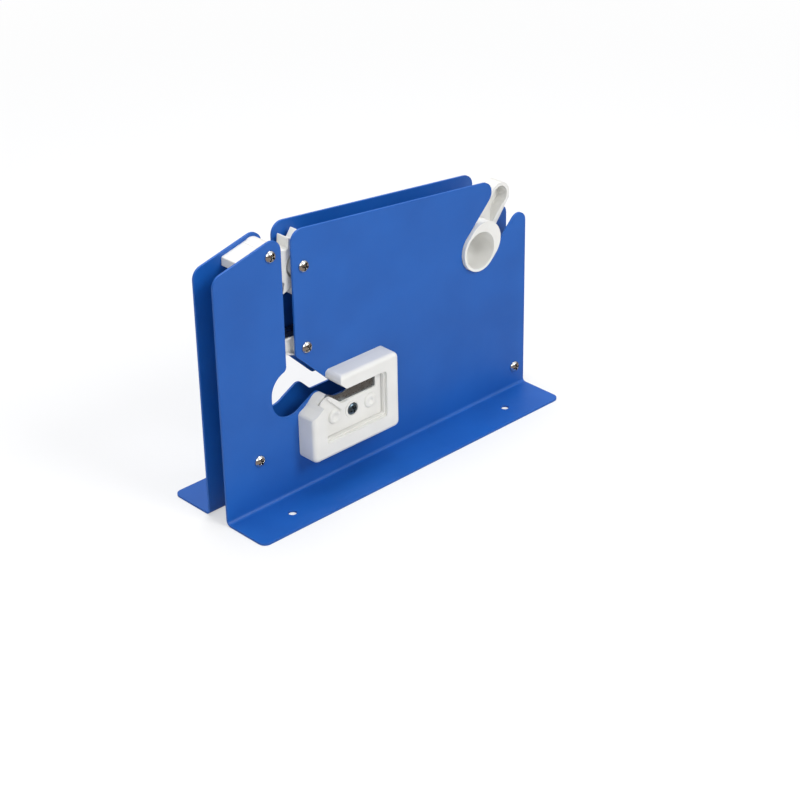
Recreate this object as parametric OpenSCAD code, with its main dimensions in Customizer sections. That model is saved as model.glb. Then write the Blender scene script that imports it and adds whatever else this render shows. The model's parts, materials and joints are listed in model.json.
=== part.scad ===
// Bag neck sealer: two bent plates with a toothed wheel and a sprung knife lever between them,
// a lift-out roll holder and a side trimmer.
// Origin at the middle of the foot, X along the plates, front towards -Y, Z up, all sizes in millimetres.

/* [Plates] */
// Length of the plates and their foot flanges
base_l = 265; // [250:1:300]
// Height of the plates beside the neck slot
plate_h = 179.7; // [175:0.1:195]
// Thickness of the sheet steel
sheet_t = 1.5; // [1.2:0.1:2]
// Clear width between the two plates
gap_w = 16.2; // [15.6:0.1:20]
// Width of a foot flange, from the plate's outer face
flange_w = 34.4; // [30:0.1:45]
// Inner radius of the bend between plate and flange
bend_r = 2.5; // [1.5:0.1:4]
// Radius of the plates' top corners
corner_r = 8; // [5:0.5:9]
// Radius of the flange corners
flange_corner_r = 5; // [2:0.5:8]
// Fall of the top edge towards the roll, in degrees
top_fall = 6.3; // [3:0.1:8]
// Rise of the entry edge towards the slot, in degrees
entry_rise = 13.9; // [8:0.1:16]
// Distance between the fixing holes along the foot
foot_hole_x = 191; // [160:1:220]
// Distance between the fixing holes across the foot
foot_hole_y = 55; // [48:1:64]
// Diameter of the fixing holes
foot_hole_d = 5.5; // [4:0.1:7]

/* [Neck slot and throat] */
// Left end of the plates to the slot
slot_from_end = 52.4; // [45:0.1:60]
// Width of the neck slot
slot_w = 8.2; // [6:0.1:9]
// Radius of the throat that the closed neck leaves by
throat_r = 14.5; // [13:0.1:16]
// Plates' top down to the throat's lower centre
throat_drop = 108.5; // [106:0.1:109.5]
// Straight length of the throat's side
throat_rise = 3.4; // [1:0.1:4]
// Radius where the slot opens into the throat
throat_lip_r = 3.5; // [2:0.1:4.5]
// Plates' top down to the slot's lower right corner
slope_drop = 84; // [82:0.1:85]
// Plates' top down to the lower edge of the trimming channel
channel_drop = 122.6; // [121.5:0.1:124]
// Height of the trimming channel
channel_h = 11.1; // [8:0.1:12]
// Distance along X between the two slopes of the channel's mouth
mouth_w = 13.2; // [11:0.1:15]
// Rise of the bump beside the throat over the channel's lower edge
bump_rise = 9.6; // [8:0.1:12]

/* [Screws and spacers] */
// Diameter of the screws
screw_d = 3.9; // [3:0.1:4]
// Diameter of the pan heads
head_d = 8; // [7:0.1:8.5]
// Height of the pan heads
head_h = 2.4; // [2:0.1:3]
// Length of thread in a spacer
thread_l = 6; // [4:0.1:7]
// Outer diameter of the threaded spacers
spacer_d = 7; // [6:0.1:7.5]
// Radial clearance of a screw in its hole
screw_play = 0.15; // [0.05:0.01:0.3]
// Radial clearance of a piece that turns on a spacer
axle_play = 0.05; // [0.02:0.01:0.08]
// Gap between a moving piece and what it lies beside
run_gap = 0.3; // [0.2:0.05:0.5]

/* [Toothed wheel] */
// Slot edge to the wheel axis
wheel_dx = 17.1; // [16:0.1:18]
// Plates' top down to the wheel axis
wheel_drop = 25.8; // [23:0.1:30]
// Number of teeth
wheel_teeth = 12; // [10:1:14]
// Radius over the tooth tips
wheel_tip_r = 20.5; // [18:0.1:21]
// Radius at the foot of the teeth
wheel_root_r = 15.2; // [14:0.1:16.5]
// Width of the toothed rim
wheel_w = 10.6; // [9:0.1:12]
// Radius of the hub
wheel_hub_r = 8; // [6.5:0.1:9]
// Width of the groove round the hub
wheel_groove_w = 1.8; // [1:0.1:2.5]
// Depth of the groove round the hub
wheel_groove_h = 3; // [1:0.1:4]
// Angle of the first tooth, in degrees
wheel_phase = 110; // [90:1:120]
// Outer diameter of the centring washers
washer_d = 11; // [10:0.1:12]

/* [Knife lever] */
// Slot edge to the lever axis
lever_dx = 17; // [16:0.1:18]
// Plates' top down to the lever axis
lever_drop = 80.7; // [79:0.1:82]
// Radius of the lever hub
lever_hub_r = 7; // [6.6:0.1:8]
// Reach of the lever across the slot
lever_reach = 22; // [20:0.1:24]
// Height of the lever's top above its axis
lever_top = 9; // [8.5:0.1:10]
// Width of the lever
lever_w = 12; // [11.6:0.1:13]
// Depth of the pocket in the lever's face
lever_pocket = 1.5; // [0.8:0.1:2.5]
// Lever axis to the upright part of the knife
knife_dx = 7; // [6:0.1:9]
// Height of the knife's upright part
knife_h = 12; // [9:0.1:14]
// Width of the knife
knife_w = 11; // [9:0.1:11.5]
// Thickness of the knife steel
knife_t = 0.8; // [0.5:0.1:1.2]
// Pitch of the knife's teeth
knife_pitch = 1.57; // [1.2:0.01:2.2]
// Diameter of the knife rivets
rivet_d = 2.5; // [2:0.1:3]
// Diameter of the stop pin
stop_d = 2.5; // [2:0.1:2.6]
// Wire diameter of the return spring
wire_d = 0.9; // [0.6:0.05:1]
// Turns of the return spring
spring_turns = 3; // [2:1:3]

/* [Entry guide] */
// Depth of the guide below the plates' entry edge
guide_drop = 4; // [2:0.1:5]
// Thickness of the guide
guide_t = 4.5; // [3:0.1:6]
// Length of the guide back from the slot
guide_l = 31; // [24:0.1:36]
// Slot edge to the guide screw
guide_screw_dx = 8.4; // [7.5:0.1:10]
// Plates' top down to the guide screw
guide_screw_drop = 11.4; // [10.7:0.1:12.7]
// Radius of the boss round the guide screw
guide_boss_r = 6; // [5:0.1:7]

/* [Corner spacers] */
// Left end of the plates to the left spacer
left_screw_dx = 27.8; // [20:0.1:34]
// Height of the left spacer
left_screw_z = 35; // [28:0.1:42]
// Right end of the plates to the right spacer
right_screw_dx = 9.2; // [8:0.1:14]
// Height of the right spacer
right_screw_z = 15.9; // [14:0.1:22]

/* [Roll holder] */
// Right end of the plates to the holder axis
holder_from_end = 45.4; // [42:0.1:52]
// Plates' top down to the holder axis
holder_drop = 63.4; // [60:0.1:72]
// Radius of the slot that the holder lies in
holder_slot_r = 15; // [13:0.1:16]
// Wall of the holder's tube
holder_wall = 1.9; // [1.2:0.1:3]
// Length of the flat stretch of the tube's oval
holder_oval = 6; // [3:0.1:9]
// How far the tube stands out of each plate
holder_proud = 2.5; // [1.5:0.1:5]
// Length of the holder's arm, from axis to end centre
holder_arm = 39.5; // [32:0.1:44]
// Radius of the arm's end
holder_end_r = 9; // [8:0.1:11]
// Wall round the arm's trough
trough_wall = 2.4; // [1.6:0.1:3.5]
// Length of the trough
trough_l = 17; // [10:0.1:20]
// Depth of the arm's front face behind the front plate's outer face
arm_set_back = 7; // [4:0.1:8]
// Height of the shoulders over the slot edge
shoulder_h = 1.8; // [1:0.1:3]
// Thickness of the shoulders
shoulder_t = 1.5; // [1:0.1:2.5]
// Radius of the tip beside the holder slot
prong_r = 7; // [5:0.1:8]

/* [Trimmer] */
// Slot edge to the guard's left side
guard_dx = 7.7; // [6.5:0.1:8.5]
// Plates' top down to the guard's top
guard_drop = 101.9; // [100:0.1:104]
// Width of the guard
guard_l = 73.4; // [70:0.1:80]
// Height of the guard
guard_h = 53.6; // [50:0.1:58]
// Depth of the guard
guard_d = 14.5; // [13:0.1:18]
// Width of the guard's left and right sides
guard_side = 11; // [9:0.1:12]
// Width of the guard's lower side
guard_foot = 11.4; // [9:0.1:13]
// Thickness of the guard behind the blade
guard_floor = 7.8; // [5:0.1:9]
// Radius of the guard's outer corners
guard_corner_r = 4; // [3:0.1:6]
// Radius along the guard's front edges
guard_edge_r = 3; // [1.5:0.1:3]
// Set-back of the guard's upper arm from the plate's slope
arm_inset = 0.1; // [0:0.1:3]
// Width of the ledge round the clamp
ledge_w = 1.3; // [1:0.1:3.5]
// Height of the ledge above the guard's floor
ledge_h = 4.7; // [3:0.1:6.5]
// Thickness of the blade
blade_t = 1; // [0.6:0.1:1.5]
// Thickness of the clamp
clamp_t = 1.2; // [1:0.1:3]
// Height of the clamp's rib over its face
rib_h = 1.4; // [0.8:0.1:2]
// Guard's right side to the closed end of the channel
channel_dx = 17.6; // [15:0.1:21]
// Channel's lower edge down to the clamp screw
clamp_screw_drop = 8; // [7:0.1:10]
// Clamp screw, to the left of the pocket's middle
clamp_screw_dx = 0.4; // [0:0.1:2]
// Left side of the pocket to the left boss, and right side to the right boss
boss_dx = 10.1; // [9:0.1:11]
// Radius of the round bosses
boss_r = 4.3; // [3.5:0.1:5]

/* [Hidden] */

$fn = 48;
powder_blue = "#2f5cb8";
moulded_white = "#eceae4";
bright_steel = "#c9ccd0";
blade_steel = "#6d6a66";
dark_steel = "#4d5a63";

// Slack that lets one solid run clear through another in a cut.
cut = 1;
// Steps in the arc of a rounded corner.
arc_n = 8;
// Degrees from point to point along a longer arc.
arc_step = 6;

// Planes across the part: plates' inner and outer faces, measured from the middle.
in_y = gap_w / 2;
out_y = in_y + sheet_t;
foot_y = out_y + flange_w;

// Places along the part.
left_x = -base_l / 2;
right_x = base_l / 2;
slot_x = left_x + slot_from_end;
slot_right_x = slot_x + slot_w;
guard_left_x = slot_x + guard_dx;
guard_right_x = guard_left_x + guard_l;
pocket_left_x = guard_left_x + guard_side;
pocket_right_x = guard_right_x - guard_side;
holder_x = right_x - holder_from_end;
wheel_x = slot_x + wheel_dx;
lever_x = slot_x + lever_dx;
guide_screw_x = slot_x - guide_screw_dx;
left_screw_x = left_x + left_screw_dx;
right_screw_x = right_x - right_screw_dx;
clamp_screw_x = (pocket_left_x + pocket_right_x) / 2 - clamp_screw_dx;

// Heights, which hang from the plates' top: the tape head keeps its place under it.
throat_z = plate_h - throat_drop;
slope_z = plate_h - slope_drop;
channel_z = plate_h - channel_drop;
wheel_z = plate_h - wheel_drop;
lever_z = plate_h - lever_drop;
guide_screw_z = plate_h - guide_screw_drop;
holder_z = plate_h - holder_drop;
guard_top_z = plate_h - guard_drop;
guard_z = guard_top_z - guard_h;
clamp_screw_z = channel_z - clamp_screw_drop;

// The slope from the slot down to the channel falls at 45 degrees: x + z stays the same along it.
slope_sum = slot_right_x + slope_z;
channel_top_z = channel_z + channel_h;
channel_end_x = guard_right_x - channel_dx;
channel_top_x = slope_sum - channel_top_z;
// The lower slope rises from the channel's lower edge to the rounded bump beside the throat.
lower_sum = slope_sum - mouth_w;
channel_low_x = lower_sum - channel_z;
bump_z = channel_z + bump_rise;
bump_x = lower_sum - bump_z;
throat_x = slot_x + 1.9;
throat_top_z = throat_z + throat_rise;
// The lower slope's far side runs into the throat at this angle of the throat's circle.
bump_foot_a = -54;

// The lip between slot and throat: a circle that touches the slot's edge and the throat.
lip_x = slot_x - throat_lip_r;
lip_z = throat_top_z + sqrt(pow(throat_r + throat_lip_r, 2) - pow(lip_x - throat_x, 2));
lip_a = atan2(lip_z - throat_top_z, lip_x - throat_x);

// Heights of the outline's sloping edges.
function top_edge_z(x) = plate_h - (x - slot_right_x) * tan(top_fall);
function entry_edge_z(x) = plate_h + 0.6 + (x - slot_x) * tan(entry_rise);

// The holder slot runs up to the right at 45 degrees: x - z stays the same along its edges.
diag = [1, 1] / sqrt(2);
slot_half = holder_slot_r * sqrt(2);
holder_diff = holder_x - holder_z;
upper_mouth_x = (plate_h + slot_right_x * tan(top_fall) + holder_diff - slot_half) / (1 + tan(top_fall));
upper_mouth_z = upper_mouth_x - holder_diff + slot_half;
lower_mouth_z = right_x - holder_diff - slot_half;

// Sizes of the pieces between the plates.
axle_r = spacer_d / 2;
axle_bore_r = axle_r + axle_play;
screw_r = screw_d / 2;
thread_r = screw_r + 0.05;
screw_hole_r = screw_r + screw_play;
holder_r = holder_slot_r - run_gap;
holder_bore_r = holder_r - holder_wall;

// Places of the five screws, as [x, z].
screw_at = [[guide_screw_x, guide_screw_z], [wheel_x, wheel_z], [lever_x, lever_z],
    [left_screw_x, left_screw_z], [right_screw_x, right_screw_z]];

// The lever's heel and the stop pin that it rests against.
heel_l = 12;
heel_low = 2.75;
stop_at = [lever_x + heel_l - 2, lever_z - heel_low - stop_d / 2 - run_gap];
// The spring lies round the axle, in a room behind this plane of the lever.
spring_y = 1.8;
coil_play = 0.5;
spring_room_r = axle_r + coil_play + wire_d + 1.5;

// Trimmer planes, measured out from the front plate's face.
// The upper arm's slope: x + z stays the same along it, too.
arm_sum = slope_sum + arm_inset * sqrt(2);
// The upper arm ends blunt, this far to the right of the guard's left side.
arm_left_x = guard_left_x + 23.4;
// Height at which the guard's left side slants off to the finger beside the mouth.
finger_z = channel_z - 1.6;
// The finger's first, gentle step from there, how far its top stands over the bump, and its radius.
finger_step = [6.6, 3.8];
finger_over = 0.8;
finger_r = 5.6;
pocket_low_z = guard_z + guard_foot;
blade_y = guard_floor + blade_t;
clamp_y = blade_y + clamp_t;
peg_r = 2;
// The clamp screw's head, the sunk seats in the clamp, the ring round the screw and the square nut's height.
clamp_head_r = 4.1;
clamp_sink = 0.4;
screw_ring_r = 6;
nut_h = 3.2;
// Width of the clamp's rib, and radius of the blade's hollow edge.
rib_w = 5.5;
hollow_r = 15.3;
peg_at = [[guard_left_x + 6, guard_z + 8], [guard_right_x - 6, guard_top_z - 6]];

// One rounded corner of an outline: an arc of radius r that touches both edges at b.
function turned(v) = v / norm(v);
function half_turn(a) = a > 180 ? a - 360 : a < -180 ? a + 360 : a;
function corner_arc(a, b, c, r) =
    let (u = turned(a - b), v = turned(c - b), half = acos(u * v) / 2)
    let (m = b + turned(u + v) * r / sin(half), s = b + u * r / tan(half) - m, e = b + v * r / tan(half) - m)
    let (a0 = atan2(s[1], s[0]), sweep = half_turn(atan2(e[1], e[0]) - a0))
    [for (i = [0:arc_n]) m + r * [cos(a0 + sweep * i / arc_n), sin(a0 + sweep * i / arc_n)]];
// An outline of [x, z, corner radius] points with its corners rounded.
function rounded(p) = [for (i = [0:len(p) - 1])
    let (a = p[(i + len(p) - 1) % len(p)], b = p[i], c = p[(i + 1) % len(p)])
    each b[2] == 0 ? [[b[0], b[1]]] : corner_arc([a[0], a[1]], [b[0], b[1]], [c[0], c[1]], b[2])];

// Points along an arc of an outline, from angle a0 to angle a1.
function arc(at, r, a0, a1) =
    let (n = ceil(abs(a1 - a0) / arc_step))
    [for (i = [0:n]) let (a = a0 + (a1 - a0) * i / n) [at[0] + r * cos(a), at[1] + r * sin(a), 0]];

// Stands an x-z outline up, from plane y0 forward to plane y1 (both measured towards the front).
module upright(y0, y1) {
    translate([0, -y0, 0]) rotate([90, 0, 0]) linear_extrude(y1 - y0) children();
}
// A round bar or hole along Y at [x, z], between two planes measured towards the front.
module bar(at, r, y0, y1) {
    translate([at[0], -y0, at[1]]) rotate([90, 0, 0]) cylinder(r = r, h = y1 - y0);
}

// The plate's outline with its neck slot, throat, trimming channel and holder slot.
module plate_outline(foot_z) {
    polygon(rounded(concat(
        [[left_x, foot_z, 0],
        [right_x, foot_z, 0],
        [right_x, lower_mouth_z, prong_r]],
        arc([holder_x, holder_z], holder_slot_r, -45, -225),
        [[upper_mouth_x, upper_mouth_z, corner_r],
        [slot_right_x, plate_h, corner_r],
        [slot_right_x, slope_z, 2],
        [channel_top_x, channel_top_z, 3],
        [channel_end_x, channel_top_z, 2],
        [channel_end_x, channel_z, 2],
        [channel_low_x, channel_z, 3],
        [bump_x, bump_z, 5]],
        arc([throat_x, throat_z], throat_r, bump_foot_a, -180),
        arc([throat_x, throat_top_z], throat_r, 180, lip_a),
        arc([lip_x, lip_z], throat_lip_r, lip_a - 180, 0),
        [[slot_x, entry_edge_z(slot_x), corner_r],
        [left_x, entry_edge_z(left_x), corner_r]])));
}

// One bent plate, drawn as the front one: upright sheet, bend and foot flange in one piece.
module bent_plate() {
    bend_out_r = bend_r + sheet_t;
    difference() {
        union() {
            upright(in_y, out_y) plate_outline(bend_out_r);
            translate([left_x, -out_y - bend_r, bend_out_r]) rotate([90, 0, 90]) linear_extrude(base_l)
                difference() {
                    intersection() {
                        circle(bend_out_r);
                        translate([0, -bend_out_r]) square(bend_out_r);
                    }
                    circle(bend_r);
                }
            linear_extrude(sheet_t) difference() {
                polygon(rounded([[left_x, -out_y - bend_r, 0], [left_x, -foot_y, flange_corner_r],
                    [right_x, -foot_y, flange_corner_r], [right_x, -out_y - bend_r, 0]]));
                for (side = [-1, 1])
                    translate([side * foot_hole_x / 2, -foot_hole_y / 2]) circle(d = foot_hole_d);
            }
        }
        for (p = screw_at)
            bar(p, screw_hole_r, in_y - cut, out_y + cut);
    }
}

module front_plate() {
    color(powder_blue) difference() {
        bent_plate();
        bar([clamp_screw_x, clamp_screw_z], screw_hole_r, in_y - cut, out_y + cut);
        for (p = peg_at)
            bar(p, peg_r + screw_play, in_y - cut, out_y + cut);
    }
}

module back_plate() {
    color(powder_blue) difference() {
        mirror([0, 1, 0]) bent_plate();
        bar(stop_at, stop_d / 2, -out_y - cut, -in_y + cut);
    }
}

// Pan head with a cross recess, its seat at z = 0 and its shank below.
module pan_screw(length, r, h) {
    difference() {
        union() {
            rotate_extrude() polygon(rounded([[0, 0, 0], [r, 0, 0], [r, h, h * 0.62], [0, h, 0]]));
            translate([0, 0, -length]) cylinder(r = screw_r, h = length);
        }
        for (turn = [0, 90])
            rotate(turn) translate([-r * 0.55, -0.45, h * 0.4]) cube([r * 1.1, 0.9, h]);
    }
}
module side_screws() {
    for (p = screw_at)
        translate([p[0], -out_y, p[1]]) rotate([90, 0, 0]) rotate(30)
            pan_screw(sheet_t + thread_l, head_d / 2, head_h);
}
module front_screws() {
    color(bright_steel) side_screws();
}
module back_screws() {
    color(bright_steel) mirror([0, 1, 0]) side_screws();
}

// Threaded spacer between the plates.
module spacer(at) {
    color(bright_steel) difference() {
        bar(at, axle_r, -in_y, in_y);
        bar(at, thread_r, -in_y - cut, in_y + cut);
    }
}
module guide_spacer() spacer(screw_at[0]);
module wheel_axle() spacer(screw_at[1]);
module lever_axle() spacer(screw_at[2]);
module left_spacer() spacer(screw_at[3]);
module right_spacer() spacer(screw_at[4]);

// White block at the slot's mouth: a bar under the entry edge, turned down beside the slot, with a boss.
module entry_guide() {
    end_x = slot_x - guide_l;
    drop = guide_drop / cos(entry_rise);
    under = (guide_drop + guide_t) / cos(entry_rise);
    color(moulded_white) difference() {
        upright(-in_y, in_y) {
            polygon(rounded([
                [end_x, entry_edge_z(end_x) - under, 0.8],
                [slot_x - 6, entry_edge_z(slot_x - 6) - under, 0],
                [slot_x - 2.5, guide_screw_z - guide_boss_r, 1],
                [slot_x, guide_screw_z - guide_boss_r, 1],
                [slot_x, entry_edge_z(slot_x) - drop, corner_r - 1],
                [end_x, entry_edge_z(end_x) - drop, 0.8]]));
            translate([guide_screw_x, guide_screw_z]) circle(guide_boss_r);
            translate([guide_screw_x - guide_boss_r, guide_screw_z]) square([2 * guide_boss_r, guide_t]);
        }
        bar(screw_at[0], axle_r, -in_y - cut, in_y + cut);
    }
}

// Star wheel: pointed teeth round a rim, with a hub set off by a groove on each face.
module tooth_wheel() {
    step = 360 / wheel_teeth;
    tip_half = 1;
    foot_half = 3;
    hub_half = wheel_w / 2 + 1;
    // One tooth as [angle, radius] points, from its tip to the start of the next.
    tooth = [[-tip_half, wheel_tip_r], [tip_half, wheel_tip_r],
        [step / 2 - foot_half, wheel_root_r], [step / 2 + foot_half, wheel_root_r]];
    color(moulded_white) difference() {
        union() {
            upright(-wheel_w / 2, wheel_w / 2) translate([wheel_x, wheel_z])
                polygon([for (k = [0:wheel_teeth - 1]) for (p = tooth)
                    p[1] * [cos(wheel_phase + k * step + p[0]), sin(wheel_phase + k * step + p[0])]]);
            bar(screw_at[1], wheel_hub_r - 2, -hub_half, hub_half);
        }
        for (side = [-1, 1])
            difference() {
                bar(screw_at[1], wheel_hub_r + wheel_groove_w, side * wheel_w / 2 - wheel_groove_h,
                    side * wheel_w / 2 + wheel_groove_h);
                bar(screw_at[1], wheel_hub_r, -in_y, in_y);
            }
        bar(screw_at[1], axle_bore_r, -in_y, in_y);
    }
}

module wheel_washers() {
    near = wheel_w / 2 + 1 + run_gap;
    color(bright_steel) for (side = [-1, 1]) {
        low = side > 0 ? near : -in_y;
        high = side > 0 ? in_y : -near;
        difference() {
            bar(screw_at[1], washer_d / 2, low, high);
            bar(screw_at[1], axle_r, -in_y - cut, in_y + cut);
        }
    }
}

// Knife lever: an arm across the slot, a hub, a heel that meets the stop pin and a seat for the knife.
module lever_outline(inset) {
    e = 0.01 + inset;
    tip_x = lever_x - lever_reach;
    tip_low = 2.5;
    elbow = [13, 2.2];
    belly = [5, 4, 5];
    polygon(rounded([
        [lever_x + knife_dx - e, lever_z + lever_top - e, 0],
        [tip_x + e, lever_z + lever_top - e, 2],
        [tip_x + 1 + e, lever_z + tip_low + e, 2],
        [lever_x - elbow[0], lever_z - elbow[1] + e, 0],
        [lever_x - belly[0], lever_z - belly[2] + e, 0],
        [lever_x + belly[1], lever_z - belly[2] + e, 0],
        [lever_x + knife_dx - e, lever_z, 0]]));
}
module knife_lever() {
    half = lever_w / 2;
    color(moulded_white) difference() {
        union() {
            upright(-half, half) {
                lever_outline(0);
                translate([lever_x, lever_z]) circle(lever_hub_r);
                polygon(rounded([[lever_x, lever_z - heel_low, 0], [lever_x + heel_l, lever_z - heel_low, 1],
                    [lever_x + heel_l, lever_z + 1.5, 1.5], [lever_x, lever_z + 4, 0]]));
            }
            bar(screw_at[2], lever_hub_r - 1, half - cut, in_y - run_gap);
        }
        bar(screw_at[2], axle_bore_r, -in_y, in_y + cut);
        bar(screw_at[2], spring_room_r, -half - cut, -spring_y);
        upright(-half - cut, -spring_y) {
            translate([lever_x - 14, lever_z - lever_hub_r - cut]) square([14, lever_hub_r + cut + 1.5]);
            translate([lever_x - cut, lever_z - lever_hub_r - cut])
                square([heel_l, lever_hub_r + cut - heel_low]);
        }
        upright(half - lever_pocket, half + cut) difference() {
            lever_outline(1.4);
            translate([lever_x - 6.5, lever_z - 20]) square(40);
        }
        for (dx = rivet_dx)
            translate([lever_x + dx, 0, lever_z + lever_top - 5]) cylinder(d = rivet_d, h = 6);
    }
}

// Knife: a flat strip on the lever, bent upright into a toothed cutting edge.
rivet_dx = [-17, 1.5];
module knife_blade() {
    base_z = lever_z + lever_top;
    strip_l = lever_reach + knife_dx - 1.5;
    teeth = floor(knife_w / knife_pitch);
    color(blade_steel) difference() {
        union() {
            translate([lever_x + knife_dx - strip_l, -knife_w / 2, base_z]) cube([strip_l, knife_w, knife_t]);
            translate([lever_x + knife_dx - knife_t, 0, base_z]) rotate([90, 0, 90]) linear_extrude(knife_t)
                polygon(concat([[-knife_w / 2, 0], [knife_w / 2, 0]], [for (k = [0:2 * teeth])
                    [knife_w / 2 - k * knife_w / (2 * teeth), knife_h - (k % 2 == 0 ? 1.4 : 0)]]));
        }
        for (dx = rivet_dx)
            translate([lever_x + dx, 0, base_z - cut]) cylinder(d = rivet_d, h = knife_t + 2 * cut);
    }
}
// A low round head with a rounded rim.
module rivet_head(r) {
    head = 0.8;
    rotate_extrude() polygon(rounded([[0, 0, 0], [r, 0, 0], [r, head, 0.6], [0, head, 0]]));
}
module knife_rivets() {
    color(bright_steel) for (dx = rivet_dx)
        translate([lever_x + dx, 0, lever_z + lever_top]) {
            translate([0, 0, -4.8]) cylinder(d = rivet_d, h = 4.8 + knife_t);
            translate([0, 0, knife_t]) rivet_head(rivet_d * 0.85);
        }
}

// Return spring: one wire, from the leg under the stop pin, round the axle, to the leg under the arm.
coil_r = axle_r + wire_d / 2 + coil_play;
coil_y0 = in_y - run_gap - wire_d / 2 - 0.4;
coil_pitch = (coil_y0 - spring_y - wire_d / 2 - 0.15) / spring_turns;
coil_steps = 24;
// The fixed leg passes under the stop pin at this height.
leg_z = stop_at[1] - stop_d / 2 - wire_d / 2 - 0.35;
function coil_point(i) =
    let (a = -90 + i * 360 / coil_steps)
    [lever_x + coil_r * cos(a), coil_y0 - coil_pitch * i / coil_steps, lever_z + coil_r * sin(a)];
coil_last = coil_steps * spring_turns - 6;
wire_path = concat(
    [[stop_at[0] + 3, coil_y0 + 0.2, leg_z - 0.25],
     [stop_at[0] - 3, coil_y0 + 0.1, leg_z + 0.25]],
    [for (i = [0:coil_last]) coil_point(i)],
    [[lever_x - coil_r - 0.3, coil_point(coil_last)[1] - 0.25, lever_z + 0.35],
     [lever_x - coil_r - 2.2, coil_point(coil_last)[1] - 0.3, lever_z + 0.5],
     [lever_x - 12, coil_point(coil_last)[1] - 0.3, lever_z + 0.5]]);
function ring_at(p, q, r, n) =
    let (t = turned(q - p), side = turned(cross(t, [0, 1, 0.02])), up = cross(side, t))
    [for (k = [0:n - 1]) r * (cos(k * 360 / n) * side + sin(k * 360 / n) * up)];
module wire(path, r, n) {
    m = len(path);
    points = [for (i = [0:m - 1])
        each [for (d = ring_at(path[max(i - 1, 0)], path[min(i + 1, m - 1)], r, n)) path[i] + d]];
    sides = [for (i = [0:m - 2]) for (k = [0:n - 1])
        let (a = i * n + k, b = i * n + (k + 1) % n)
        each [[a, a + n, b + n], [a, b + n, b]]];
    polyhedron(points, concat([[for (k = [0:n - 1]) k]], [[for (k = [0:n - 1]) m * n - 1 - k]], sides));
}
module lever_spring() {
    echo(least_gap_between_turns = coil_pitch - wire_d);
    color(bright_steel) wire(wire_path, wire_d / 2, 6);
}

// Stop pin, riveted into the back plate.
module stop_pin() {
    color(bright_steel) union() {
        bar(stop_at, stop_d / 2, -out_y, lever_w / 4);
        translate([stop_at[0], out_y, stop_at[1]]) rotate([-90, 0, 0]) rivet_head(stop_d * 0.9);
    }
}

// Roll holder: an oval tube through both plates and an arm with a trough between them.
arm_front = out_y - arm_set_back;
function along_slot(d) = [holder_x + d * diag[0], holder_z + d * diag[1]];
// An oval along the slot, and an outline that tapers along lines which touch both of its end circles.
module tapered(r0, d0, r1, d1) {
    lean = asin((r0 - r1) / (d1 - d0));
    polygon([for (p = concat(arc(along_slot(d0), r0, 135 - lean, 315 + lean),
        arc(along_slot(d1), r1, -45 + lean, 135 - lean))) [p[0], p[1]]]);
}
module roll_holder() {
    end_y = out_y + holder_proud;
    trough_r = holder_end_r - trough_wall;
    color(moulded_white) difference() {
        union() {
            upright(-end_y, end_y) tapered(holder_r, 0, holder_r, holder_oval);
            upright(-in_y + run_gap, arm_front) tapered(holder_r - 1, 0, holder_end_r, holder_arm);
            for (side = [-1, 1])
                bar([holder_x, holder_z], holder_slot_r + shoulder_h,
                    side > 0 ? in_y - run_gap - shoulder_t : -in_y + run_gap,
                    side > 0 ? in_y - run_gap : -in_y + run_gap + shoulder_t);
        }
        bar([holder_x, holder_z], holder_bore_r, -end_y - cut, end_y + cut);
        upright(-in_y + run_gap + trough_wall, arm_front + cut) 
            tapered(trough_r, holder_arm - trough_l, trough_r, holder_arm);
    }
}

// The guard before it is cut: a block with one slanted corner, its front edges rounded.
// Each outline point is [x, z, corner radius]; e draws the outline in.
function guard_outline(e) =
    let (r = guard_corner_r - e, slant = e * tan(22.5))
    [[guard_left_x + e, guard_z + e, r],
    [guard_right_x - e, guard_z + e, r],
    [guard_right_x - e, guard_top_z - e, r],
    [arm_sum - guard_top_z - 2 + slant, guard_top_z - e, r],
    [guard_left_x + e, finger_z + 3 - slant, r]];
module guard_block() {
    steps = 5;
    front_y = out_y + guard_d - guard_edge_r;
    hull()
        for (i = [0:steps])
            upright(out_y, front_y + guard_edge_r * sin(90 * i / steps))
                polygon(rounded(guard_outline(guard_edge_r * (1 - cos(90 * i / steps)))));
}
// The mouth: under the arm's blunt end it follows the plate's slope, then the channel and the finger.
module mouth_outline() {
    far = 8;
    // Distance from the guard's side and top at which the cut's edge passes before it bites.
    skin = 0.05;
    polygon(rounded([
        [arm_left_x + far, guard_top_z + far, 0],
        [guard_left_x - far, guard_top_z + far, 0],
        [guard_left_x - far, finger_z - far, 0],
        [guard_left_x - skin, finger_z - far, 0],
        [guard_left_x - skin, finger_z, 3],
        [guard_left_x + finger_step[0], finger_z + finger_step[1], 6],
        [bump_x - finger_over, bump_z + finger_over, finger_r],
        [channel_low_x, channel_z, 3],
        [channel_end_x, channel_z, 1],
        [channel_end_x, channel_top_z, 1],
        [arm_sum - channel_top_z, channel_top_z, 2],
        [arm_left_x, arm_sum - arm_left_x, 1],
        [arm_left_x, guard_top_z + skin, 3],
        [arm_left_x + far, guard_top_z + skin, 0]]));
}
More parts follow.
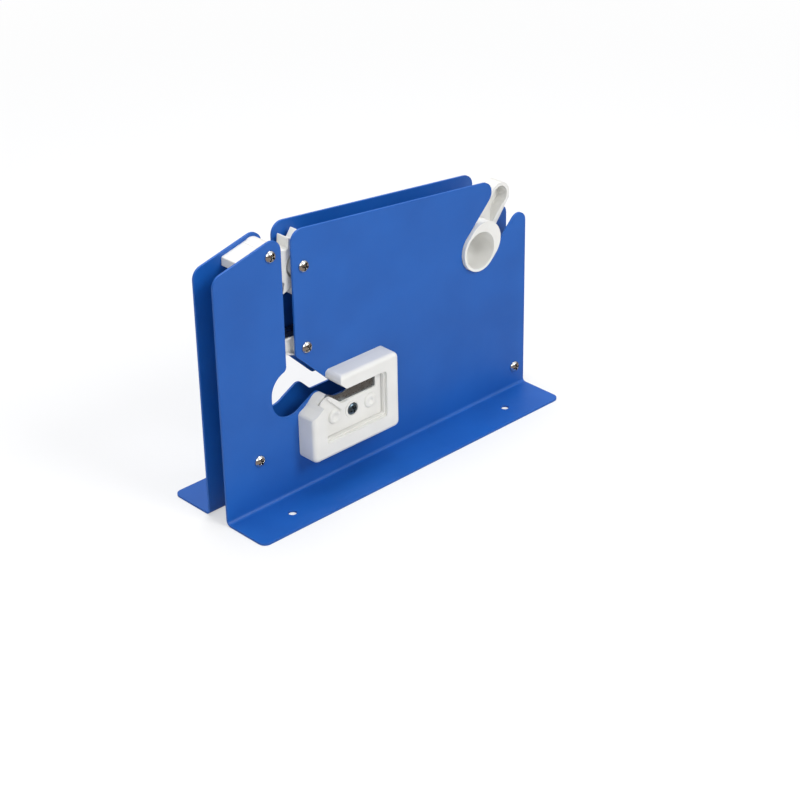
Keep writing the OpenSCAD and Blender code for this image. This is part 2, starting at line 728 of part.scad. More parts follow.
// The pocket that takes blade and clamp; e is the width of the ledge along its foot, right side and top.
module pocket_outline(e) {
    polygon(rounded([
        [pocket_left_x, pocket_low_z + e, 1.5],
        [pocket_right_x - e, pocket_low_z + e, 1.5],
        [pocket_right_x - e, channel_top_z - e, 2.5],
        [channel_end_x, channel_top_z - e, 0],
        [channel_low_x, channel_top_z, 0],
        [bump_x + 1, bump_z + 3, 0],
        [pocket_left_x - 2.5, bump_z - 4, 3],
        [pocket_left_x, bump_z - 12, 3]]));
}
module trimmer_guard() {
    color(moulded_white) difference() {
        union() {
            guard_block();
            for (p = peg_at)
                bar(p, peg_r, in_y, out_y + cut);
        }
        upright(out_y - cut, out_y + guard_d + cut) mouth_outline();
        upright(out_y + guard_floor, out_y + guard_d + cut) pocket_outline(ledge_w);
        upright(out_y + guard_floor + ledge_h, out_y + guard_d + cut) pocket_outline(0);
        bar([clamp_screw_x, clamp_screw_z], screw_hole_r, out_y - cut, out_y + guard_d);
    }
}

// Clamp outline, inside the ledge with a gap all round.
module clamp_outline() {
    g = 0.2;
    polygon(rounded([
        [pocket_left_x + g, pocket_low_z + ledge_w + g, 1],
        [pocket_right_x - ledge_w - g, pocket_low_z + ledge_w + g, 1],
        [pocket_right_x - ledge_w - g, channel_top_z - ledge_w - g, 2.3],
        [channel_end_x + 0.5, channel_top_z - ledge_w - g, 0.5],
        [channel_end_x + 0.5, channel_z + 0.5, 1],
        [channel_low_x + 0.5, channel_z + 0.5, 2],
        [bump_x + 0.4, bump_z - 1, 4.5],
        [pocket_left_x - 1.9, bump_z - 4.6, 2.6],
        [pocket_left_x + g, bump_z - 11.6, 3]]));
}
// The clamp: a thin panel with a rib along the lower slope, two ring bosses and a raised ring at its screw.
module blade_clamp() {
    boss_at = [[pocket_left_x + boss_dx, clamp_screw_z], [pocket_right_x - boss_dx, clamp_screw_z]];
    screw_xz = [clamp_screw_x, clamp_screw_z];
    y0 = out_y + blade_y;
    y1 = out_y + clamp_y;
    color(moulded_white) difference() {
        union() {
            upright(y0, y1) clamp_outline();
            upright(y1 - clamp_t / 2, y1 + rib_h) intersection() {
                clamp_outline();
                difference() {
                    translate([channel_low_x - 3, channel_z - 1]) rotate(135)
                        translate([-rib_w, -rib_w * 2]) square([30, rib_w * 2]);
                    translate(boss_at[0]) circle(boss_r + 1);
                }
            }
            bar(screw_xz, screw_ring_r, y1 - clamp_t / 2, y1 + 0.5);
            for (p = boss_at)
                bar(p, boss_r, y1 - clamp_t / 2, y1 + 0.7);
        }
        bar(boss_at[0], boss_r - 1.6, y1 - clamp_sink, y1 + cut);
        bar(boss_at[1], boss_r - 2.7, y1 - clamp_sink, y1 + cut);
        bar(screw_xz, clamp_head_r + 0.3, y1 - clamp_sink, y1 + cut);
        bar(screw_xz, screw_hole_r, y0 - cut, y1 + cut);
    }
}

// Trimmer blade: held under the clamp, with a hollow ground edge across the channel's mouth.
module trimmer_blade() {
    blade_low_z = clamp_screw_z - 4;
    blade_top_z = channel_top_z - ledge_w - 0.3;
    blade_right_x = channel_end_x + 3;
    color(blade_steel) difference() {
        upright(out_y + guard_floor, out_y + blade_y) difference() {
            polygon([[bump_x - 0.6, bump_z - 1], [bump_x - 2.4, bump_z - 4.2],
                [bump_x + 3.5, blade_low_z], [blade_right_x, blade_low_z],
                [blade_right_x, blade_top_z], [channel_top_x + 6, blade_top_z]]);
            translate([channel_top_x - 0.8, channel_top_z + hollow_r - 5.6]) circle(hollow_r, $fn = 96);
        }
        bar([clamp_screw_x, clamp_screw_z], screw_hole_r, out_y, out_y + guard_d);
    }
}

module clamp_screw() {
    seat = out_y + clamp_y - clamp_sink;
    color(dark_steel) translate([clamp_screw_x, -seat, clamp_screw_z]) rotate([90, 0, 0]) rotate(20)
        pan_screw(seat - in_y + nut_h + 0.2, clamp_head_r, 2);
}
module clamp_nut() {
    nut_w = 7;
    color(bright_steel) difference() {
        translate([clamp_screw_x - nut_w / 2, -in_y, clamp_screw_z - nut_w / 2]) cube([nut_w, nut_h, nut_w]);
        bar([clamp_screw_x, clamp_screw_z], thread_r, -in_y, in_y + cut);
    }
}

front_plate();
back_plate();
front_screws();
back_screws();
entry_guide();
guide_spacer();
left_spacer();
right_spacer();
wheel_axle();
wheel_washers();
tooth_wheel();
lever_axle();
knife_lever();
knife_blade();
knife_rivets();
lever_spring();
stop_pin();
roll_holder();
trimmer_guard();
blade_clamp();
trimmer_blade();
clamp_screw();
clamp_nut();
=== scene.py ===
# %% [markdown]
# # A bag neck sealer, dressed for the camera
# The sealer stands on a shop counter: two blue powder-coated steel plates, white moulded pieces between and in front
# of them, and bright screws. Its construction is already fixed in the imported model. This notebook rounds the edges,
# presses the recesses into the screws, adds a few small moulded forms and gives every surface its finish. What it
# adds takes its place from the frame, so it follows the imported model.

# %% Load the frame
import json
import math
import bmesh
import bpy
from mathutils import Matrix, Vector


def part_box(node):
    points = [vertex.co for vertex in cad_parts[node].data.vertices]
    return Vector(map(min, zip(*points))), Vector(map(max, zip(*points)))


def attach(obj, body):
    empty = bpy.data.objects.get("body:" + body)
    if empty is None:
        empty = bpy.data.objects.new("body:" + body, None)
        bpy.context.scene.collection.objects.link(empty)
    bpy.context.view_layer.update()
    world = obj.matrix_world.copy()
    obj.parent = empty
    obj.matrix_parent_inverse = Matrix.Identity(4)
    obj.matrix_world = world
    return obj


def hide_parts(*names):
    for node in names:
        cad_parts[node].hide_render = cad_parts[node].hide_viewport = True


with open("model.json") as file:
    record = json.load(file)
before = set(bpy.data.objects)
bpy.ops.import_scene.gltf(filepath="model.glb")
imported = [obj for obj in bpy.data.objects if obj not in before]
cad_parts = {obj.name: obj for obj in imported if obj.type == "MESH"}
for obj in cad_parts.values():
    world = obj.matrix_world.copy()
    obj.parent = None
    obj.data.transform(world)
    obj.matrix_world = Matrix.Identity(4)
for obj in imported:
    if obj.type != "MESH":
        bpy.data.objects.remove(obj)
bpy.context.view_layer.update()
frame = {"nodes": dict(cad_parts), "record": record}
MM = 0.001
body_of_node = {node: body for body, nodes in frame["record"]["behaviour"]["bodies"].items() for node in nodes}
slot_of_node = {part["node"]: part["material_slot"] for part in frame["record"]["subparts"]}

# %% [markdown]
# Everything in the scene is an object that carries some data: a mesh, a lamp or a camera. A camera and a lamp both
# look along their own -Z axis, so one helper puts either in its place and turns it towards what it is aimed at.

# %% Object helpers
def add_object(name, data):
    item = bpy.data.objects.new(name, data)
    bpy.context.scene.collection.objects.link(item)
    return item


def look_at(item, place, aim):
    item.location = place
    item.rotation_mode = "QUATERNION"
    item.rotation_quaternion = (Vector(aim) - Vector(place)).to_track_quat("-Z", "Y")


# %% [markdown]
# The camera stands where the photographer stood. A product photo is taken with a long lens from a little above, and
# the lens is shifted sideways because the sealer isn't in the middle of the picture. The angles and the distance were
# measured from the plates' edges, so the outline falls where it does in the photograph. The focal length and the
# optical centre are in pixels of the 800 pixel picture, and the last lines turn them into Blender's own measures.

# %% Camera
AZIMUTH, ELEVATION = math.radians(-45.29), math.radians(28.65)
AIM, DISTANCE = Vector((87.1, 0, 1.8)) * MM, 1403 * MM
FOCAL_PX, CENTRE_PX, FRAME_PX, SENSOR_MM = 2042.8, (467.47, 397.41), 800, 36
NEAREST, FARTHEST = 50 * MM, 20

back = Vector((math.sin(AZIMUTH) * math.cos(ELEVATION), -math.cos(AZIMUTH) * math.cos(ELEVATION),
               math.sin(ELEVATION)))
camera = add_object("camera", bpy.data.cameras.new("camera"))
bpy.context.scene.camera = camera
look_at(camera, AIM + back * DISTANCE, AIM)
camera.data.sensor_width = SENSOR_MM
camera.data.lens = FOCAL_PX * SENSOR_MM / FRAME_PX
camera.data.shift_x = (FRAME_PX / 2 - CENTRE_PX[0]) / FRAME_PX
camera.data.shift_y = (CENTRE_PX[1] - FRAME_PX / 2) / FRAME_PX
camera.data.clip_start, camera.data.clip_end = NEAREST, FARTHEST
print("camera at", [round(x, 3) for x in camera.location], "lens", round(camera.data.lens, 1))

# %% [markdown]
# Colours are picked as sRGB hex codes, as on a paint chart. The renderer adds light in linear values, so one function
# turns a code into linear numbers, and every material uses it. Its numbers are those of the sRGB standard: a straight
# line near black and a power of 2.4 above it.

# %% Colour and node helpers
def srgb(code):
    parts = [int(code[i:i + 2], 16) / 255 for i in (1, 3, 5)]
    return [c / 12.92 if c <= 0.04045 else ((c + 0.055) / 1.055) ** 2.4 for c in parts] + [1.0]


def add_node(tree, kind, inputs=(), **settings):
    node = tree.nodes.new("ShaderNode" + kind)
    for name, value in settings.items():
        setattr(node, name, value)
    for socket, value in dict(inputs).items():
        if isinstance(value, bpy.types.NodeSocket):
            tree.links.new(value, node.inputs[socket])
        else:
            node.inputs[socket].default_value = value
    return node


def new_material(name):
    material = bpy.data.materials.new(name)
    material.use_nodes = True
    material.node_tree.nodes.clear()
    return material, material.node_tree


print("mid grey in linear values", round(srgb("#808080")[0], 3))

# %% [markdown]
# The pattern of each finish is laid over the piece in real sizes. The blotches of a noise texture are about one unit
# wide, so the scale is one metre divided by the size of a grain. The noise is read on the piece's own coordinates,
# stretched where a process such as grinding leaves lines. Its values lie mostly between 0.3 and 0.7, and spread turns
# them into the range that a finish needs.

# %% Grain and tint helpers
NOISE_LOW, NOISE_HIGH = 0.3, 0.7


def grain(tree, size_mm, detail=2.0, stretch=(1, 1, 1)):
    place = add_node(tree, "TexCoord").outputs["Object"]
    stretched = add_node(tree, "Mapping", {"Vector": place, "Scale": stretch}).outputs["Vector"]
    noise = add_node(tree, "TexNoise", {"Vector": stretched, "Scale": 1 / (size_mm * MM), "Detail": detail})
    return noise.outputs["Fac"]


def spread(tree, value, low, high):
    ranged = add_node(tree, "MapRange", {"Value": value, "From Min": NOISE_LOW, "From Max": NOISE_HIGH,
                                         "To Min": low, "To Max": high})
    return ranged.outputs["Result"]


def tint(tree, value, first, second):
    mixed = add_node(tree, "Mix", {"Factor": spread(tree, value, 0, 1), "A": srgb(first), "B": srgb(second)},
                     data_type="RGBA")
    return mixed.outputs["Result"]


print("scale of a 1.5 mm grain", round(1 / (1.5 * MM)))

# %% [markdown]
# Narrow hollows, such as a screw's recess, see little light. Ambient occlusion measures how much open space a point
# sees within a short reach, and where that is little the colour goes over to a dark colour, as painted shade.
# The whole surface is then put together in one function: a patchy colour, a patchy roughness and a chain of bumps,
# each laid over the one before.

# %% Put a surface together
CLOSED_SHARE, OPEN_SHARE, OPEN_SAMPLES = 0.35, 0.85, 8
GLOSS_PATCHES = 3


# Painted shade: where ambient occlusion finds little open space, the colour goes over to a dark colour.
def paint_shade_in_hollows(tree, colour, recess_shade, reach_mm):
    seen = add_node(tree, "AmbientOcclusion", {"Distance": reach_mm * MM}, samples=OPEN_SAMPLES).outputs["AO"]
    unshaded = add_node(tree, "MapRange", {"Value": seen, "From Min": CLOSED_SHARE, "From Max": OPEN_SHARE,
                                        "To Min": 0.0, "To Max": 1.0}).outputs["Result"]
    mixed = add_node(tree, "Mix", {"Factor": unshaded, "A": srgb(recess_shade), "B": colour}, data_type="RGBA")
    return mixed.outputs["Result"]


def surface(name, colours, roughness, bumps, patch_mm, recess_shade=None, **sockets):
    material, tree = new_material(name)
    colour = tint(tree, grain(tree, patch_mm), *colours)
    # The optional dark colour below is painted shade in hollows.
    if recess_shade:
        colour = paint_shade_in_hollows(tree, colour, *recess_shade)
    gloss = spread(tree, grain(tree, patch_mm / GLOSS_PATCHES), *roughness)
    normal = None
    for size_mm, depth_mm, stretch in bumps.values():
        bump = {"Height": grain(tree, size_mm, stretch=stretch), "Strength": 1.0, "Distance": depth_mm * MM}
        if normal:
            bump["Normal"] = normal
        normal = add_node(tree, "Bump", bump).outputs["Normal"]
    shader = add_node(tree, "BsdfPrincipled", {"Base Color": colour, "Roughness": gloss, "Normal": normal, **sockets})
    add_node(tree, "OutputMaterial", {"Surface": shader.outputs["BSDF"]})
    print(name, "made with", len(tree.nodes), "nodes, bumps:", ", ".join(bumps))
    return material


# %% [markdown]
# Powder coat is polyester dust melted on steel. It sets to a satin skin with a faint orange peel, a swell about 1.5 mm
# across and 0.01 mm deep. It hides the steel, so it isn't metallic. The finer dust grain is drawn coarser than the
# real one, which is too fine to show. A bump is given as its size and depth in millimetres and its stretch along X, Y
# and Z.

# %% Powder coat
EVEN = (1, 1, 1)
powder_coat = surface("polyester_powder_coat_blue", ("#0f55a8", "#135cb2"), (0.42, 0.50),
                      {"peel": (1.5, 0.012, EVEN), "dust": (0.4, 0.002, EVEN)}, 45, IOR=1.5)

# %% [markdown]
# The white pieces are injection moulded nylon. The steel mould leaves a very fine spark-eroded grain, drawn coarser
# here so that it shows, and thick places shrink a little, so the warm white gets soft patches.

# %% White moulding
white_moulding = surface("moulded_nylon_white", ("#dddcd7", "#e3e2dd"), (0.34, 0.44),
                         {"shrink": (9, 0.03, EVEN), "spark": (0.35, 0.003, EVEN)}, 18, IOR=1.53)

# %% [markdown]
# Five metals follow. Chrome plate is close to a mirror. Zinc plate is duller and a little mottled. The blades are
# ground, which leaves fine lines along them, drawn here as coarse as they need to show. Spring wire is drawn through a
# die, and the clamp screw is blued steel, dark and slightly glossy. A metal keeps the default IOR, because its
# reflection comes from its colour. The two kinds of screw get painted shade, a dark colour, in their recesses.

# %% Metals
ALONG_X = (0.06, 1, 1)
RECESS_SHADE_REACH_MM = 1.2
# The dark brown given with the chrome is painted shade in the screw recesses.
chrome_plate = surface("bright_chrome_plate", ("#dcdcda", "#e4e3e0"), (0.10, 0.16),
                       {"polish": (0.5, 0.002, EVEN)}, 4, recess_shade=("#1d1713", RECESS_SHADE_REACH_MM), Metallic=1.0)
zinc_plate = surface("bright_zinc_plate", ("#b9bbbc", "#cacccd"), (0.28, 0.40),
                     {"spangle": (1.2, 0.004, EVEN)}, 5, Metallic=1.0)
knife_steel = surface("ground_blade_steel", ("#858a8d", "#9a9fa2"), (0.24, 0.36),
                      {"grinding": (0.35, 0.0012, ALONG_X)}, 6, Metallic=1.0)
spring_wire = surface("drawn_spring_wire", ("#8d8e8f", "#a0a1a1"), (0.25, 0.35),
                      {"drawing": (0.3, 0.003, EVEN)}, 3, Metallic=1.0)
# The near-black given with the blued steel is painted shade in the clamp screw's recess.
blued_steel = surface("blued_screw_steel", ("#5c6f7c", "#6d808c"), (0.26, 0.36),
                      {"blueing": (0.6, 0.003, EVEN)}, 3, recess_shade=("#0c1216", RECESS_SHADE_REACH_MM), Metallic=1.0)

# %% [markdown]
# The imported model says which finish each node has. The nodes that are dressed below hand theirs on to their copies,
# and the lever's spring, wound wire without edges to soften, is shown as it is.

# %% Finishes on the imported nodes
FINISH = {"powder_coat": powder_coat, "white_moulding": white_moulding, "chromed_steel": chrome_plate,
          "zinc_steel": zinc_plate, "knife_steel": knife_steel, "spring_steel": spring_wire, "dark_screw": blued_steel}
for node, part in frame["nodes"].items():
    part.data.materials.clear()
    part.data.materials.append(FINISH[slot_of_node[node]])
print("finishes for", len(frame["nodes"]), "nodes")

# %% [markdown]
# A piece starts as a bmesh, which is easy to edit, and ends as an object's mesh. Its faces are turned outwards and
# shaded smooth, and only edges past a given angle stay crisp. It rides on the body of the node that it belongs to, so
# it moves with it, and takes that node's finish.

# %% Turn a bmesh into a piece
DRESSED_SHARP_DEG, MOULDED_SHARP_DEG = 35, 50


def new_piece(name, bm, node, sharp_deg):
    bmesh.ops.recalc_face_normals(bm, faces=bm.faces)
    mesh = bpy.data.meshes.new(name)
    bm.to_mesh(mesh)
    bm.free()
    mesh.shade_smooth()
    mesh.set_sharp_from_angle(angle=math.radians(sharp_deg))
    mesh.materials.append(FINISH[slot_of_node[node]])
    piece = add_object(name, mesh)
    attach(piece, body_of_node[node])
    print(name, len(mesh.polygons), "faces")
    return piece


def dressed_piece(bm, node):
    piece = new_piece(node + "_dressed", bm, node, DRESSED_SHARP_DEG)
    piece.modifiers.new("even_normals", "WEIGHTED_NORMAL").keep_sharp = True
    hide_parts(node)


# %% [markdown]
# A sharp edge never catches light, and no real edge is sharp: sheared steel is softened by its coat, and a mould has
# small radii everywhere. So each node gets a dressed copy. The copy's loose triangles are merged, the flat ones are
# joined, and the edges are bevelled. The bevel operator is used here and not the modifier, because the joined faces
# then stay part of the mesh that is exported. Weighted normals keep the large flat faces looking flat beside the
# bevels.

# %% Dress a copy of a node
MERGE_MM, FLAT_DEG, CORNER_DEG, BEVEL_SEGMENTS = 0.002, 0.5, 32, 2


def merged_copy(node):
    bm = bmesh.new()
    bm.from_mesh(frame["nodes"][node].data)
    bmesh.ops.remove_doubles(bm, verts=bm.verts, dist=MERGE_MM * MM)
    bmesh.ops.dissolve_limit(bm, angle_limit=math.radians(FLAT_DEG), verts=bm.verts, edges=bm.edges)
    return bm


def dress(node, radius_mm, shape=None):
    bm = merged_copy(node)
    if shape:
        shape(bm)
    corner = math.radians(CORNER_DEG)
    edges = [edge for edge in bm.edges if len(edge.link_faces) == 2 and edge.calc_face_angle(0) > corner]
    print(node, len(edges), "edges softened")
    bmesh.ops.bevel(bm, geom=edges, offset=radius_mm * MM, offset_type="OFFSET", segments=BEVEL_SEGMENTS, profile=0.5,
                    affect="EDGES", material=-1, clamp_overlap=True)
    dressed_piece(bm, node)


# %% [markdown]
# The entry guide lies sloping between the plates at the mouth of the slot. Its top stands 1.6 mm higher here than in
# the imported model, nearer to the plates' edges, as the photograph shows it. Points near the sloping top are raised,
# most at the top itself and less further down, along a curve that starts and ends level, so the lower edge and the
# boss stay where they are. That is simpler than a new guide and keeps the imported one's shape.

# %% Raise the entry guide's top
GUIDE_SLOPE, TOP_LAYER, TOP_RAISED = math.tan(math.radians(13.9)), 4.6 * MM, 1.6 * MM


def eased(value):
    value = min(max(value, 0.0), 1.0)
    return value * value * (3 - 2 * value)


def raise_top(bm):
    top = max(vert.co.z - vert.co.x * GUIDE_SLOPE for vert in bm.verts)
    for vert in bm.verts:
        height = vert.co.z - vert.co.x * GUIDE_SLOPE - top + TOP_LAYER
        vert.co.z += TOP_RAISED * eased(height / TOP_LAYER)


print("top raised by mm", round(TOP_RAISED / MM, 1))

# %% [markdown]
# The radius of each softened edge follows how the piece is made. The coat rounds the plates' sheared edges, the
# mouldings have corners of 0.3 to 0.5 mm, larger on the larger ones, and turned or ground steel keeps almost sharp
# edges.

# %% Dress the plates, the mouldings and the fittings
PLATE_RADIUS_MM, FITTING_RADIUS_MM = 0.35, 0.12
MOULDED_RADIUS_MM = {"entry_guide": 0.5, "tooth_wheel": 0.35, "knife_lever": 0.4, "roll_holder": 0.5,
                     "trimmer_guard": 0.5, "blade_clamp": 0.3}
RESHAPED = {"entry_guide": raise_top}
for node in ("front_plate", "back_plate"):
    dress(node, PLATE_RADIUS_MM)
for node, radius_mm in MOULDED_RADIUS_MM.items():
    dress(node, radius_mm, RESHAPED.get(node))
for node in ("guide_spacer", "left_spacer", "right_spacer", "wheel_axle", "wheel_washers", "lever_axle",
             "knife_rivets", "stop_pin", "clamp_nut", "knife_blade", "trimmer_blade"):
    dress(node, FITTING_RADIUS_MM)

# %% [markdown]
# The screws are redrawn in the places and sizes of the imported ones. All the screws of one side are one node, so its
# mesh is taken apart first: from any vertex, the edges lead to all the others of the same screw, and the box round
# them gives that screw's place and radius. A round piece is drawn as half its outline, radius by height, and spun.

# %% Find loose parts and spin outlines
SEAM_MM = 0.0005


def loose_boxes(node):
    bm = merged_copy(node)
    left, boxes = set(bm.verts), []
    while left:
        stack, group = [left.pop()], []
        while stack:
            vert = stack.pop()
            group.append(vert.co.copy())
            near = [edge.other_vert(vert) for edge in vert.link_edges]
            stack += [other for other in near if other in left]
            left.difference_update(near)
        boxes.append([Vector(pick(co[i] for co in group) for i in range(3)) for pick in (min, max)])
    bm.free()
    return sorted(boxes, key=lambda box: tuple(box[0]))


def spun(profile, sides):
    bm = bmesh.new()
    verts = [bm.verts.new((radius, 0, height)) for radius, height in profile]
    edges = [bm.edges.new(pair) for pair in zip(verts, verts[1:])]
    bmesh.ops.spin(bm, geom=verts + edges, cent=(0, 0, 0), axis=(0, 0, 1), angle=math.tau, steps=sides,
                   use_merge=True)
    bmesh.ops.remove_doubles(bm, verts=bm.verts, dist=SEAM_MM * MM)
    return bm


print("front screws found", len(loose_boxes("front_screws")))

# %% [markdown]
# A pan head is a low dome over a short straight rim, and a punch presses the cross recess into it while the steel is
# cold. The same is done here: every point of the head inside the cross moves down, deepest in the middle. The cross
# is measured in shares of the head's radius, its depth in shares of the head's height.

# %% Pan heads with pressed cross recesses
SIDES, RINGS = 96, 22
SHANK_SHARE, RIM_SHARE, DOME_START, DOME_ROUND = 0.48, 0.10, 2.5, 0.6
ARM_REACH, ARM_END_SLOPE, ARM_HALF_WIDTH, ARM_SIDE_SLOPE = 0.64, 0.06, 0.15, 0.04
MIDDLE_REACH, MIDDLE_SLOPE, ARM_DEPTH, MIDDLE_DEPTH, LOWEST_PRESSED = 0.30, 0.06, 0.60, 0.25, 0.3


def press_cross(bm, radius, height, turn):
    for vert in bm.verts:
        if vert.co.z < LOWEST_PRESSED * height:
            continue
        x = abs(vert.co.x * math.cos(turn) + vert.co.y * math.sin(turn)) / radius
        y = abs(vert.co.y * math.cos(turn) - vert.co.x * math.sin(turn)) / radius
        arm = eased((ARM_REACH - max(x, y)) / ARM_END_SLOPE) * eased((ARM_HALF_WIDTH - min(x, y)) / ARM_SIDE_SLOPE)
        middle = eased((MIDDLE_REACH - math.hypot(x, y)) / MIDDLE_SLOPE)
        vert.co.z -= height * (ARM_DEPTH * arm + MIDDLE_DEPTH * middle)


def pan_screw(radius, height, length, turn):
    shank = radius * SHANK_SHARE
    dome = [(radius * k / RINGS, height * (1 - (k / RINGS) ** DOME_START) ** DOME_ROUND) for k in range(RINGS)]
    foot = [(radius, RIM_SHARE * height), (radius, 0), (shank, 0), (shank, -length), (0, -length)]
    bm = spun(dome + foot, SIDES)
    press_cross(bm, radius, height, turn)
    return bm


print("points on a head's dome", SIDES * RINGS)

# %% [markdown]
# Each screw is spun upright and then laid along Y, its head on the side that it is driven from: -1 is the front, 1 is
# the back. No two real screws stop at the same turn, so each has its own.

# %% The screws
HEAD_MM, CLAMP_HEAD_MM = 2.4, 2.0


def pan_screws(node, side, head_mm, turns_deg):
    bm = bmesh.new()
    for (low, high), turn_deg in zip(loose_boxes(node), turns_deg):
        radius, height = (high.x - low.x) / 2, head_mm * MM
        screw = pan_screw(radius, height, high.y - low.y - height, math.radians(turn_deg))
        under_head = low.y + height if side < 0 else high.y - height
        seat = Vector(((low.x + high.x) / 2, under_head, (low.z + high.z) / 2))
        lay = Matrix.Translation(seat) @ Matrix.Rotation(-side * math.pi / 2, 4, "X")
        bmesh.ops.transform(screw, verts=screw.verts, matrix=lay)
        mesh = bpy.data.meshes.new("screw")
        screw.to_mesh(mesh)
        screw.free()
        bm.from_mesh(mesh)
        bpy.data.meshes.remove(mesh)
    dressed_piece(bm, node)


pan_screws("front_screws", -1, HEAD_MM, (20, 55, 33, 75, 10))
pan_screws("back_screws", 1, HEAD_MM, (40, 15, 70, 25, 60))
pan_screws("clamp_screw", -1, CLAMP_HEAD_MM, (25,))

# %% [markdown]
# The clamp is a small moulded panel with two bosses, one on each side of its screw. Each is a soft ring round a
# dimple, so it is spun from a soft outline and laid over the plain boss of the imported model. Its place comes from the
# clamp's and the screw's own boxes. The outline is a list of radii and heights over the clamp's face, in millimetres.
# Its last point lies inside the clamp, so that no gap shows under the rim.

# %% Bosses on the clamp
RIB_HEIGHT, BOSS_LIFT = 1.4 * MM, 0.5 * MM
LEFT_INSET, RIGHT_INSET, BOSS_SIDES = 11.3 * MM, 9.5 * MM, 64
clamp_low, clamp_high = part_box("blade_clamp")
screw_low, screw_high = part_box("clamp_screw")
face_y = clamp_low.y + RIB_HEIGHT
middle_z = (screw_low.z + screw_high.z) / 2 + BOSS_LIFT


def clamp_boss(name, x, dimple_mm):
    dimple = [(0, 0.2), (dimple_mm - 0.6, 0.3), (dimple_mm, 1.0), (dimple_mm + 0.8, 1.5)]
    outside = [(4.3, 1.2), (5.0, 0.4), (5.2, -0.3)]
    bm = spun([(radius * MM, height * MM) for radius, height in dimple + outside], BOSS_SIDES)
    place = Matrix.Translation((x, face_y, middle_z)) @ Matrix.Rotation(math.pi / 2, 4, "X")
    bmesh.ops.transform(bm, verts=bm.verts, matrix=place)
    new_piece(name, bm, "blade_clamp", MOULDED_SHARP_DEG)


clamp_boss("clamp_boss_left", clamp_low.x + LEFT_INSET, 2.4)
clamp_boss("clamp_boss_right", clamp_high.x - RIGHT_INSET, 1.6)

# %% [markdown]
# The roll holder's arm is hollowed to a trough, so that its wall stays even. The trough runs out towards the tube:
# its floor rises in a soft curve until it meets the arm's face. The ramp is drawn from the side, as the distance back
# from the centre of the arm's round end and the place along Y, and extruded across the trough.

# %% Ramp in the holder's trough
ARM_END_RADIUS, TROUGH_HALF, RAMP_FROM, RAMP_TO = 9.0 * MM, 6.5 * MM, 4 * MM, 22.5 * MM
TROUGH_FLOOR_Y, ARM_FACE_Y, SUNK, RAMP_STEPS = 5.6 * MM, -2.5 * MM, 0.2 * MM, 16
holder_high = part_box("roll_holder")[1]
along, across = Vector((1, 0, 1)).normalized(), Vector((1, 0, -1)).normalized()
end_centre = Vector((holder_high.x - ARM_END_RADIUS, 0, holder_high.z - ARM_END_RADIUS))
side_view = []
for k in range(RAMP_STEPS + 1):
    share = k / RAMP_STEPS
    side_view.append((RAMP_FROM + (RAMP_TO - RAMP_FROM) * share,
                      TROUGH_FLOOR_Y + (ARM_FACE_Y - TROUGH_FLOOR_Y) * eased(share)))
side_view.append((RAMP_TO, TROUGH_FLOOR_Y + SUNK))

bm = bmesh.new()
near_side = end_centre - across * TROUGH_HALF
face = bm.faces.new([bm.verts.new(near_side - along * back_by + Vector((0, y, 0))) for back_by, y in side_view])
grown = bmesh.ops.extrude_face_region(bm, geom=[face])["geom"]
bmesh.ops.translate(bm, verts=[item for item in grown if isinstance(item, bmesh.types.BMVert)],
                    vec=across * 2 * TROUGH_HALF)
new_piece("trough_ramp", bm, "roll_holder", MOULDED_SHARP_DEG)

# %% [markdown]
# The studio is a white room. The camera sees it plain white, because a ray that comes straight from the camera meets
# a white light of strength 1. Everything else sees the room as it is. The object is lit by a pale, even light, and
# its reflections show a room that is bright overhead and a dim warm grey at eye level, where the photographer stands.
# That gives chrome its contrast and keeps the satin coat from going pale.

# %% Room
ROOM_STRENGTH, DIM_BELOW, BRIGHT_ABOVE = 0.5, 0.1, 0.8


def white_to_camera(tree, shader, share):
    straight = add_node(tree, "LightPath").outputs["Is Camera Ray"]
    factor = add_node(tree, "Math", {0: straight, 1: share}, operation="MULTIPLY").outputs[0]
    white = add_node(tree, "Emission", {"Color": srgb("#ffffff"), "Strength": 1.0})
    return add_node(tree, "MixShader", {0: factor, 1: shader, 2: white.outputs[0]}).outputs[0]


world = bpy.data.worlds.new("soft_room")
world.use_nodes = True
bpy.context.scene.world = world
tree = world.node_tree
tree.nodes.clear()
plain = add_node(tree, "Background", {"Color": srgb("#f2f4f8"), "Strength": ROOM_STRENGTH})
direction = add_node(tree, "TexCoord").outputs["Generated"]
height = add_node(tree, "SeparateXYZ", {0: direction}).outputs["Z"]
rise = add_node(tree, "MapRange", {"Value": height, "From Min": DIM_BELOW, "From Max": BRIGHT_ABOVE,
                                   "To Min": 0.0, "To Max": 1.0})
room_colour = add_node(tree, "Mix", {"Factor": rise.outputs[0], "A": srgb("#5a4a40"), "B": srgb("#ffffff")},
                       data_type="RGBA")
mirrored = add_node(tree, "Background", {"Color": room_colour.outputs["Result"], "Strength": 1.0})
is_mirrored = add_node(tree, "LightPath").outputs["Is Glossy Ray"]
room = add_node(tree, "MixShader", {0: is_mirrored, 1: plain.outputs[0], 2: mirrored.outputs[0]})
add_node(tree, "OutputWorld", {"Surface": white_to_camera(tree, room.outputs[0], 1.0)})
print("room made with", len(tree.nodes), "nodes")

# %% [markdown]
# The sealer stands on a large round sheet of matt white paper. Near the sealer the paper is only half turned to white
# for the camera, so it keeps the shadow under the flanges, and further out it goes over to the plain white of the
# room. Reflections see the paper dim, as they see the room at eye level.

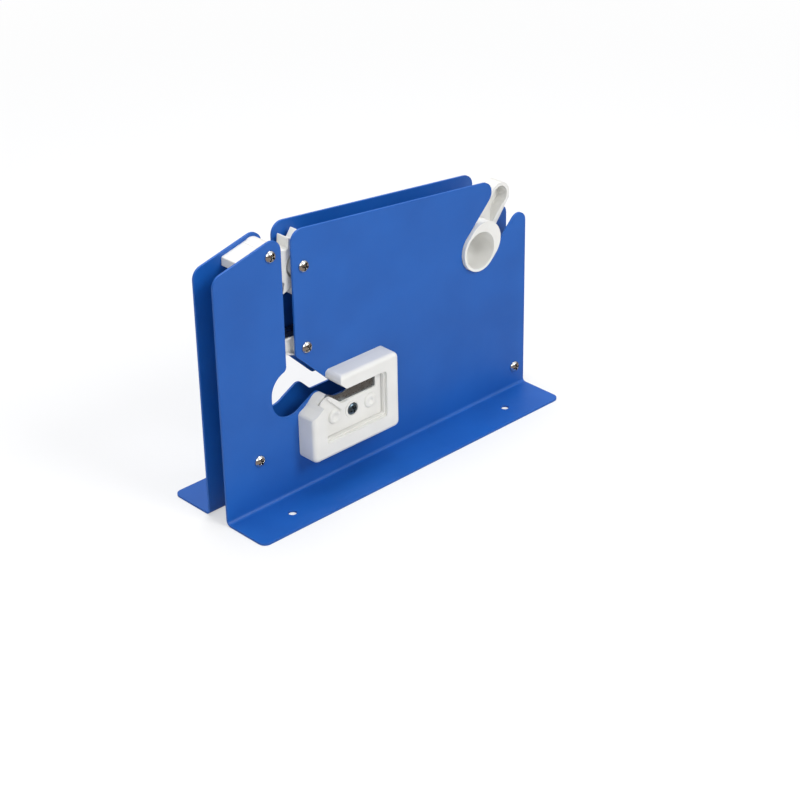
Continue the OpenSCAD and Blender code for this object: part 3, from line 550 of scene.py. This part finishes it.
# %% Paper sheet
SHEET_RADIUS, SHEET_GAP, SHEET_SIDES = 3.0, 0.05 * MM, 64
SHADOW_REACH, WHITE_REACH, SHADOW_SHARE, DIM_STRENGTH = 0.35, 1.1, 0.5, 0.8
sheet, tree = new_material("matt_white_paper")
paper = add_node(tree, "BsdfDiffuse", {"Color": srgb("#ececec")})
dim = add_node(tree, "Emission", {"Color": srgb("#a3948a"), "Strength": DIM_STRENGTH})
is_mirrored = add_node(tree, "LightPath").outputs["Is Glossy Ray"]
ground = add_node(tree, "MixShader", {0: is_mirrored, 1: paper.outputs[0], 2: dim.outputs[0]})
spot = add_node(tree, "TexCoord").outputs["Object"]
reach = add_node(tree, "VectorMath", {0: spot}, operation="LENGTH").outputs["Value"]
fade = add_node(tree, "MapRange", {"Value": reach, "From Min": SHADOW_REACH, "From Max": WHITE_REACH,
                                   "To Min": SHADOW_SHARE, "To Max": 1.0})
add_node(tree, "OutputMaterial", {"Surface": white_to_camera(tree, ground.outputs[0], fade.outputs[0])})

bm = bmesh.new()
bmesh.ops.create_circle(bm, cap_ends=True, segments=SHEET_SIDES, radius=SHEET_RADIUS)
bmesh.ops.translate(bm, verts=bm.verts, vec=(0, 0, -SHEET_GAP))
floor_mesh = bpy.data.meshes.new("floor")
bm.to_mesh(floor_mesh)
bm.free()
floor_mesh.materials.append(sheet)
floor = add_object("floor", floor_mesh)
print("paper sheet of radius m", SHEET_RADIUS)

# %% [markdown]
# Three round soft lamps light the sealer, as large flash umbrellas do: the key from the front and above, a weak fill
# from the left, and one overhead that brings out the tops of the mouldings. A lamp's place and aim are in metres, its
# size is its diameter, and its power is in watts.

# %% Lamps
LAMPS = {"key_lamp": ((0.3, -1.4, 1.3), (0, 0, 0.08), 0.8, 17),
         "fill_lamp": ((-1.3, -0.5, 1.0), (0, 0, 0.08), 1.0, 5),
         "top_lamp": ((0.1, 0.3, 1.6), (0, 0, 0.05), 1.0, 16)}
for name, (place, aim, size, watts) in LAMPS.items():
    disk = bpy.data.lights.new(name, "AREA")
    disk.shape, disk.size, disk.energy = "DISK", size, watts
    look_at(add_object(name, disk), place, aim)
bpy.context.scene.view_settings.view_transform = "Standard"
print("lamps", ", ".join(LAMPS))
